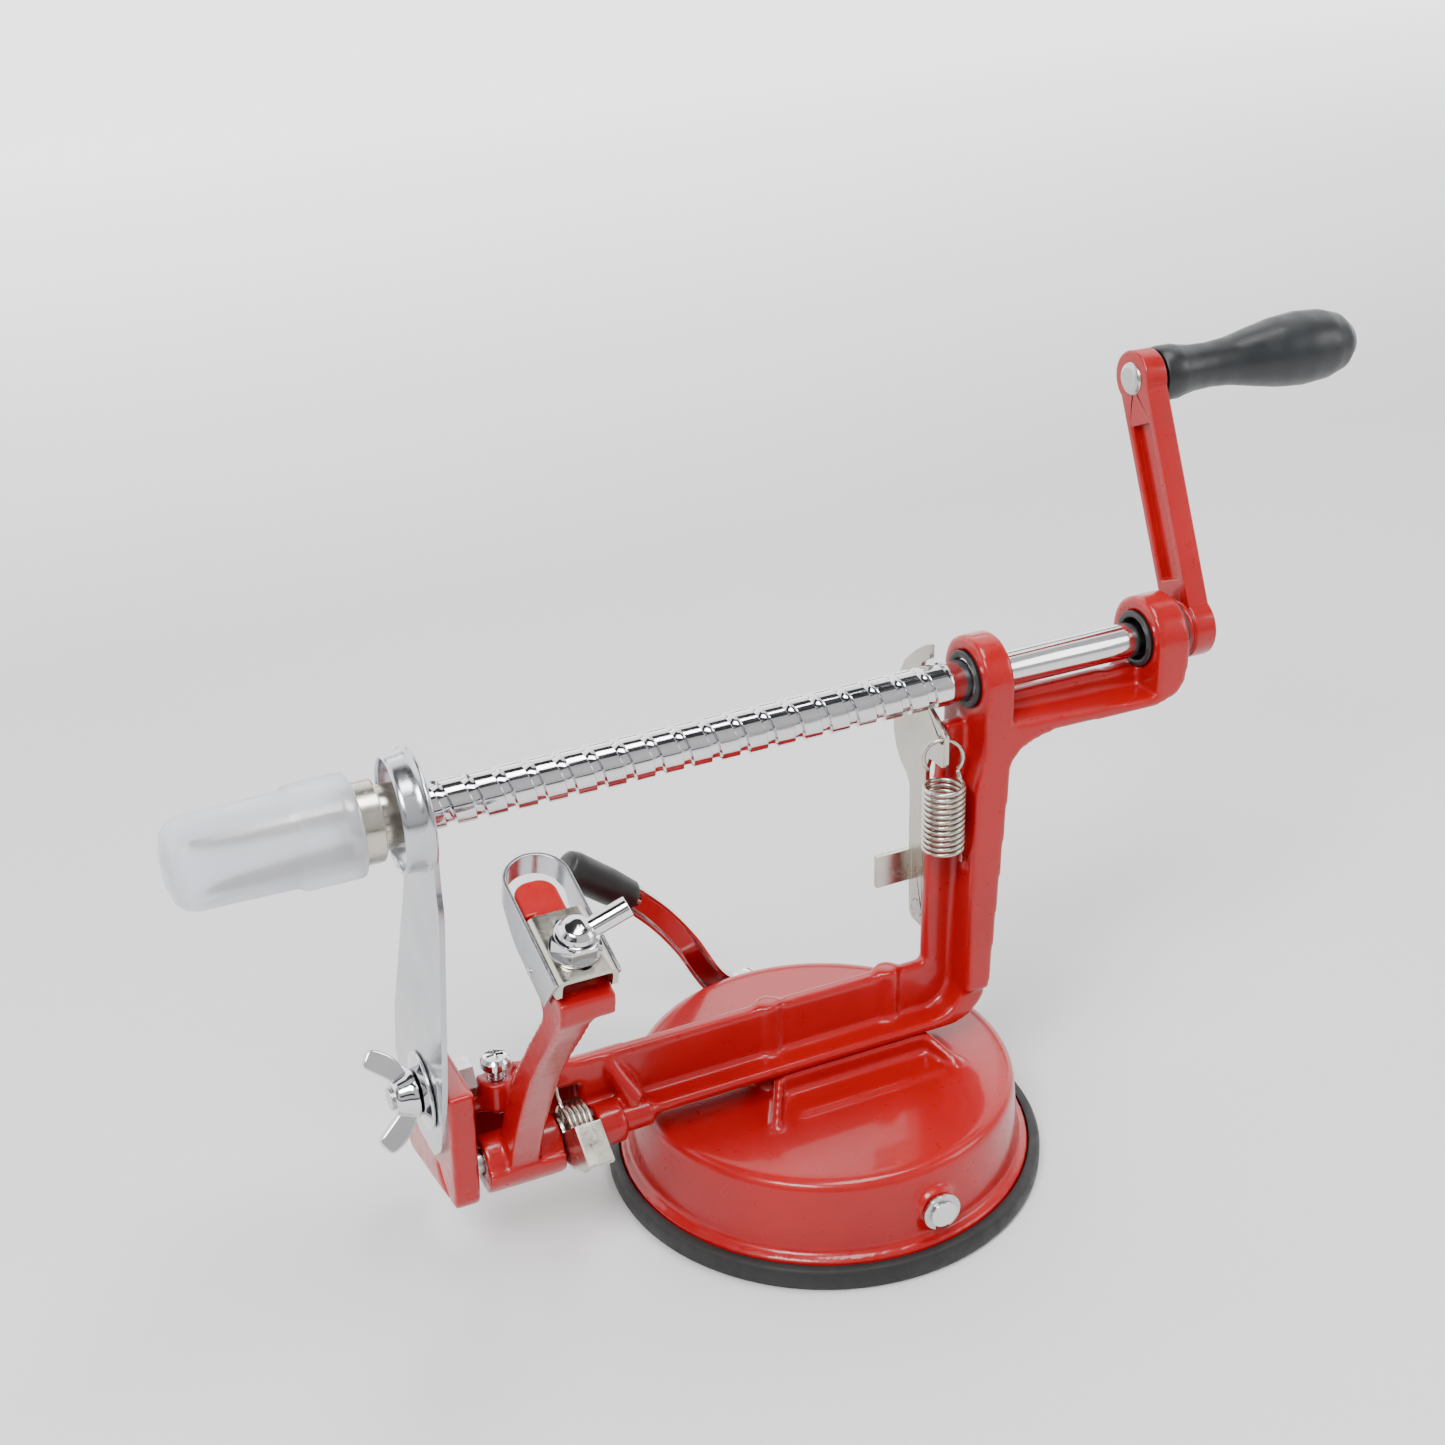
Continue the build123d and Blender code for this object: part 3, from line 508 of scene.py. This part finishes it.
def coring_arm():
    """Thin leaning strip that widens from the bolt and meets the ring."""
    # edges toward and away from the peeling arm, and the strip's lean
    near = [(31.5, -1.5), (34, -4.6), (37, -7.8), (57, -13.5),
            (94, -13.5), (97, -13.2), (99.5, -12.2), (102, -11.4)]
    far = [(31.5, 8.6), (33, 12.0), (40, 19.0), (44, 21.8), (47, 21.2),
           (92, 9.4), (104, 7.8)]
    lean = [(30, -92.1), (56.6, -92.1), (101, -88.8), (110, -88.65)]
    rows = []
    heights = [31.5, 32.4, 33.4, 34.6, 36, 38, 40, 42, 44, 45.5, 47, 50,
               54, 57, 62, 68, 74, 80, 86, 91, 95, 97.5, 99.5, 101]
    count = 28
    for z in heights:
        a, b = along(near, z), along(far, z)
        rows.append([(along(lean, z), a + (b - a) * k / count, z)
                     for k in range(count + 1)])
    # the last rows bend from the straight top edge to the ring's arc
    start, ring_x, ring_r = rows[-1], -88.65, 12.3
    for f in (0.35, 0.7, 1.0):
        row = []
        for k in range(count + 1):
            ang = math.radians(202 + 106 * k / count)
            ring = Vector((ring_x, ring_r * math.cos(ang),
                           SHAFT_Z + ring_r * math.sin(ang)))
            row.append(Vector(start[k]).lerp(ring, f))
        rows.append(row)
    arm = skin("coring_arm", rows, 1.2, "coring", "blade_steel", angle=40)
    # diagonal slot for the bolt
    r, y, z, shift = 2.6, BOLT_Y, BOLT_Z, 4
    slot = arc(y, z, r, 135, 315) + arc(y + shift, z + shift, r, -45, 135)
    slotted(arm, slot, in_yz(0), -97, -86, 30, 0.22)


def coring_ring():
    """Drawn collar: a thin cutting lip and a narrow flange behind."""
    line = [(-94.0, 11.15), (-94.25, 11.4), (-94.1, 11.7),
            (-93.0, 11.85), (-91.0, 12.0), (-89.9, 12.15),
            (-89.2, 12.6), (-89.0, 12.95), (-88.6, 13.1), (-88.2, 13.0),
            (-88.05, 12.6), (-88.2, 11.9), (-88.8, 11.45),
            (-90.5, 11.2), (-93.2, 11.05), (-94.0, 11.15)]
    ring = lathe("coring_ring", line, (0, 0, SHAFT_Z), ALONG_X, ALONG_Y,
                 "coring", "blade_steel", seg=144, angle=60)
    # the lip is trimmed shorter on the side away from the peeling arm
    flange_x, depth, radius, trim = -89.0 * MM, 5 * MM, 12 * MM, 1 * MM
    for v in ring.data.vertices:
        front = (flange_x - v.co.x) / depth
        lean = 0.5 + 0.5 * v.co.y / radius
        v.co.x += trim * lean * max(0.0, front)
    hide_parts("coring_blade")


# ---------- wing nut ----------
def wing_nut():
    """Turned core with two flat wings that thin toward their tips."""
    core = [(-95.0, 2.5), (-95.0, 5.3), (-95.5, 5.35), (-96.6, 4.9),
            (-98.6, 4.15), (-99.2, 3.9), (-99.5, 3.5), (-99.5, 2.5),
            (-95.0, 2.5)]
    nut = lathe("wing_core", core, (0, BOLT_Y, BOLT_Z), ALONG_X, ALONG_Y,
                "wing", "chrome", seg=64, angle=35)
    shape = [(-95.6, 2.9), (-95.5, 5.2), (-97.9, 8.6), (-99.4, 9.9),
             (-101.6, 11.2), (-102.6, 11.0), (-104.2, 8.6),
             (-104.0, 7.4), (-101.8, 5.6), (-98.8, 3.0)]
    shape = rounded(shape, 1.0, 4, closed=True)
    for i, turn in enumerate((-27, 153)):
        a = math.radians(turn)

        def place(u, v, w, a=a):
            w *= 1.0 - 0.25 * max(0.0, v - 5) / 6
            return Vector((u, BOLT_Y - v * math.sin(a) + w * math.cos(a),
                           BOLT_Z + v * math.cos(a) + w * math.sin(a)))

        plate("wing_%d" % i, shape, place, -1.35, 1.35, "wing",
              "chrome", bevel=0.5, segments=4, angle=30)
    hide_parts("wing_nut")


# ---------- peeling head ----------
HEAD_Y, HEAD_Z = -37.4, 106.4     # front edge of the clamp plate
LEAN = (0.951, 0.311)             # the plate's direction in y and z
MID_X = -74.0                     # the head's middle along the shaft


def on_head(x, t, n):
    """Point t toward the shaft and n above the channel plate."""
    return Vector((x, HEAD_Y + LEAN[0] * t - LEAN[1] * n,
                   HEAD_Z + LEAN[1] * t + LEAN[0] * n))


def channel():
    """Folded clamp plate: a channel with a long slot for the stud."""
    half, top_n, low_n, length, steps = 5.45, -0.55, -5.7, 16.3, 14
    line = rounded([(-half, low_n), (-half, top_n), (half, top_n),
                    (half, low_n)], 1.5, 6)
    rows = []
    for i in range(steps + 1):
        t = length * (i / steps - 1)
        # the flanges are cut back at the front
        low = low_n + 1.2 * max(0.0, (-13.5 - t) / 2.8)
        rows.append([on_head(MID_X + x, t, max(n, low)) for x, n in line])
    top = skin("channel", rows, 1.1, "cutter", "nickel_steel", angle=35)
    slot = arc(MID_X, -6.6, 2.1, 0, 180) + arc(MID_X, -12.9, 2.1, 180, 360)
    slotted(top, slot, on_head, -3, 2, 35, 0.2)
    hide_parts("peel_head")


def blade_strip():
    """Blade bent into a U, with two dimples that grip the channel."""
    r, centre, back, high, steps = 6.25, 9.6, -16.3, -0.85, 24
    # lower edge of the strip: shallow round the loop, deep beside the arm
    low = [(-16.4, -10.9), (-11.6, -11.2), (3.0, -10.6), (6.0, -9.2),
           (9.6, -7.0), (12.0, -6.3), (20.0, -6.0)]
    rows = []
    for f in [k / 10 for k in range(11)]:
        front = back + 4.2 * f
        leg = [front + (centre - front) * k / steps
               for k in range(steps + 1)]
        line = [(-r, t) for t in leg]
        for k in range(1, 32):
            a = math.pi * (1 - k / 32)
            line.append((r * math.cos(a), centre + r * math.sin(a)))
        line += [(r, t) for t in reversed(leg)]
        rows.append([on_head(MID_X + x, t,
                             high + (along(low, t) - high) * f)
                     for x, t in line])
    strip = skin("blade_strip", rows, 0.75, "cutter", "blade_steel",
                 angle=40, bevel=0.18, segments=2)
    for i, x in enumerate((-6.5, 6.5)):
        at = on_head(MID_X + x, -4.9, -9.3)
        dot = [(-0.2, 1.0), (0.25, 0.95), (0.5, 0.7), (0.62, 0.35),
               (0.66, 0)]
        lathe("blade_dimple_%d" % i, dot, at,
              (math.copysign(1, x), 0, 0), ALONG_Y, "cutter",
              "blade_steel", seg=24)
    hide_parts("peel_blade")


def arm_crease():
    """Short raised crease near the coring arm's edge."""
    crease = [(-10.9, 46.5), (-10.2, 46.0), (-9.6, 46.5), (-9.5, 55.6),
              (-10.1, 56.4), (-10.7, 55.6)]
    plate("arm_crease", crease, in_yz(-92.6), -0.45, 0.1, "coring",
          "blade_steel", bevel=0.15, segments=2)


def spring_lug():
    """Rounded lug on the column that takes the spring's foot."""
    line = [(-0.6, 0), (-0.6, 3.0), (1.6, 2.8), (2.6, 2.2), (3.0, 1.2),
            (3.1, 0)]
    lathe("spring_lug", line, (35.5, -5.0, 69.8), (-1, 0, 0), ALONG_Y,
          "base", "red_paint", seg=40, angle=50)


def pivot_boss():
    """Boss round the peeling arm's pivot pin."""
    line = [(-52.6, 0), (-52.6, 3.1), (-45.6, 3.1), (-45.0, 2.5),
            (-45.0, 0)]
    lathe("pivot_boss", line, (0, PIVOT_Y, PIVOT_Z), ALONG_X, ALONG_Y,
          "base", "red_paint", seg=48, bevel=0.4, segments=3)


def nose():
    """Rounded red guide inside the blade's loop."""
    x0, x1, tip, r, neck = -79.2, -70.8, 10.8, 3.4, -77.2
    root, shoulder = -3.0, 2.3
    shape = [(neck, root), (x1, root), (x1, shoulder)]
    shape += arc(x1 - r, tip - r, r, 0, 90, 10)
    shape += arc(x0 + r, tip - r, r, 90, 180, 10)
    shape += [(x0, shoulder), (neck, shoulder)]
    guide = plate("peel_guide", shape, on_head, -6.2, -2.5, "peeler",
                  "red_paint", bevel=0.6, segments=4)
    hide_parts("peel_nose")


def lever_channel():
    """Pressed U-shaped lever, open toward the peeling arm."""
    line = [(CAM_X, CAM_Z), (-4.8, 18.9), (-12.5, 32.4), (-18.7, 41.3),
            (-25.0, 48.2), (-27.0, 50.0)]
    path = smooth_line([(x, 0, z) for x, z in line], 8)
    section = rounded([(-2.8, 46.9), (-2.8, 50.9), (2.8, 50.9),
                       (2.8, 46.9)], 1.0, 5)
    rows = []
    for i, p in enumerate(path):
        run = (path[min(i + 1, len(path) - 1)]
               - path[max(i - 1, 0)]).normalized()
        side = Vector((-run.z, 0, run.x))
        rows.append([p + side * s + Vector((0, y, 0))
                     for s, y in section])
    bar = skin("lever_channel", rows, 0.9, "cam", "chrome", angle=40,
               bevel=0.15, segments=2)
    hub = [(46.7, 3.1), (46.7, 4.6), (47.0, 4.8), (51.0, 4.8),
           (51.3, 4.5), (51.3, 3.1), (46.7, 3.1)]
    lathe("lever_hub", hub, (CAM_X, 0, CAM_Z), ALONG_Y, ALONG_X, "cam",
          "chrome", seg=48, angle=40)
    tang = [(x, CAM_Y, z) for x, z in
            [(-24, 47.4), (-33, 54.7), (-40.3, 60.5)]]
    tube("lever_tang", tang, 1.6, "cam", "chrome")
    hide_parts("suction_lever")


arm_crease()
spring_lug()
pivot_boss()
lever_channel()
screw_shaft()
coring_arm()
coring_ring()
wing_nut()
channel()
blade_strip()
nose()


# ---------- camera ----------
CAMERA_AT = (-0.185399, -0.363311, 0.318095)
CAMERA_TURN = (-24.174, 26.862, -1.796)   # heading, downward tilt, roll
LENS = 54.07                              # for a 36 mm wide picture


def rotation(az, pitch, roll):
    """Camera directions from a heading, a downward tilt and a roll."""
    a, p, r = (math.radians(v) for v in (az, pitch, roll))
    fwd = Vector((-math.sin(a) * math.cos(p), math.cos(a) * math.cos(p),
                  -math.sin(p)))
    right = fwd.cross(Vector((0, 0, 1))).normalized()
    up = right.cross(fwd)
    rr = right * math.cos(r) + up * math.sin(r)
    uu = up * math.cos(r) - right * math.sin(r)
    return Matrix((rr, uu, -fwd)).transposed()


cam = bpy.data.objects.new("camera", bpy.data.cameras.new("camera"))
bpy.context.scene.collection.objects.link(cam)
cam.matrix_world = Matrix.Translation(CAMERA_AT) \
    @ rotation(*CAMERA_TURN).to_4x4()
cam.data.sensor_width = 36
cam.data.lens = LENS
cam.data.clip_start = 0.01
bpy.context.scene.camera = cam


# ---------- floor and light ----------
def floor():
    """Pale ground that rises far away all round the object."""
    flat, bend, top, steps, seg = 2.5, 1.5, 6.0, 12, 64
    line = [(0.4, 0), (1.2, 0), (flat, 0)]
    for k in range(1, steps + 1):
        a = math.pi / 2 * k / steps
        line.append((flat + bend * math.sin(a), bend - bend * math.cos(a)))
    line.append((flat + bend, top))
    verts = [(r * math.cos(2 * math.pi * k / seg),
              r * math.sin(2 * math.pi * k / seg), z)
             for r, z in line for k in range(seg)]
    faces = [tuple(range(seg))]
    for i in range(len(line) - 1):
        faces += [((i + 1) * seg + k, (i + 1) * seg + (k + 1) % seg,
                   i * seg + (k + 1) % seg, i * seg + k)
                  for k in range(seg)]
    mesh = bpy.data.meshes.new("floor")
    mesh.from_pydata(verts, [], faces)
    mesh.shade_smooth()
    o = bpy.data.objects.new("floor", mesh)
    bpy.context.scene.collection.objects.link(o)
    m, t, p = material("floor")
    t.links.new(ramp(t, noise(t, coords(t), 3, 2), (0.66, 0.66, 0.66),
                     (0.68, 0.68, 0.68)), p.inputs["Base Color"])
    p.inputs["Roughness"].default_value = 0.7
    p.inputs["Specular IOR Level"].default_value = 0.1
    # the ground beyond the object glows a little to stay pale
    place = t.nodes.new("ShaderNodeSeparateXYZ")
    t.links.new(coords(t), place.inputs[0])
    t.links.new(remap(t, place.outputs["Y"], 0.0, 1.8, 0.35, 1.2),
                p.inputs["Emission Strength"])
    p.inputs["Emission Color"].default_value = (1, 1, 1, 1)
    mesh.materials.append(m)


def card(name, centre, size, facing):
    """Dark board outside the picture, seen only in the chrome."""
    mesh = bpy.data.meshes.new(name)
    w, h = size[0] / 2, size[1] / 2
    mesh.from_pydata([(-w, -h, 0), (w, -h, 0), (w, h, 0), (-w, h, 0)], [],
                     [(0, 1, 2, 3)])
    o = bpy.data.objects.new(name, mesh)
    bpy.context.scene.collection.objects.link(o)
    m, t, p = material(name)
    t.links.new(ramp(t, noise(t, coords(t), 2, 2), (0.012, 0.012, 0.014),
                     (0.02, 0.02, 0.022)), p.inputs["Base Color"])
    p.inputs["Roughness"].default_value = 0.9
    mesh.materials.append(m)
    o.location = centre
    d = Vector(facing) - Vector(centre)
    o.rotation_euler = d.to_track_quat("Z", "Y").to_euler()
    o.visible_camera = False
    o.visible_shadow = False
    o.visible_diffuse = False


def softbox(name, at, target, size, power):
    """Soft rectangular lamp."""
    light = bpy.data.lights.new(name, "AREA")
    light.shape = "RECTANGLE"
    light.size, light.size_y = size
    light.energy = power
    o = bpy.data.objects.new(name, light)
    bpy.context.scene.collection.objects.link(o)
    d = Vector(target) - Vector(at)
    o.location = at
    o.rotation_euler = d.to_track_quat("-Z", "Y").to_euler()


FOOT, MIDDLE = (0, 0, 0.08), (0, 0, 0.1)    # where cards and lamps face
floor()
card("card_front", (-0.9, -1.3, 0.75), (0.9, 0.26), MIDDLE)
card("card_low", (-0.5, -1.1, 0.10), (2.4, 0.14), FOOT)
card("card_high", (0.1, -0.5, 0.95), (1.6, 0.10), MIDDLE)
card("card_side", (-1.0, -0.2, 0.35), (0.22, 0.9), MIDDLE)
card("card_back", (0.3, 0.9, 0.5), (1.8, 0.16), MIDDLE)
softbox("key", (-0.55, -0.55, 0.95), FOOT, (0.45, 0.35), 15)
softbox("fill", (0.9, -0.55, 0.55), FOOT, (0.4, 0.5), 3)
softbox("top", (0.15, -0.15, 1.2), FOOT, (0.7, 0.3), 10)
softbox("back", (0.2, 0.9, 0.6), MIDDLE, (0.8, 0.25), 1.5)
world = bpy.data.worlds.new("world")
bpy.context.scene.world = world
world.use_nodes = True
world.node_tree.nodes["Background"].inputs[0].default_value = (
    0.96, 0.97, 1.0, 1)
world.node_tree.nodes["Background"].inputs[1].default_value = 0.05
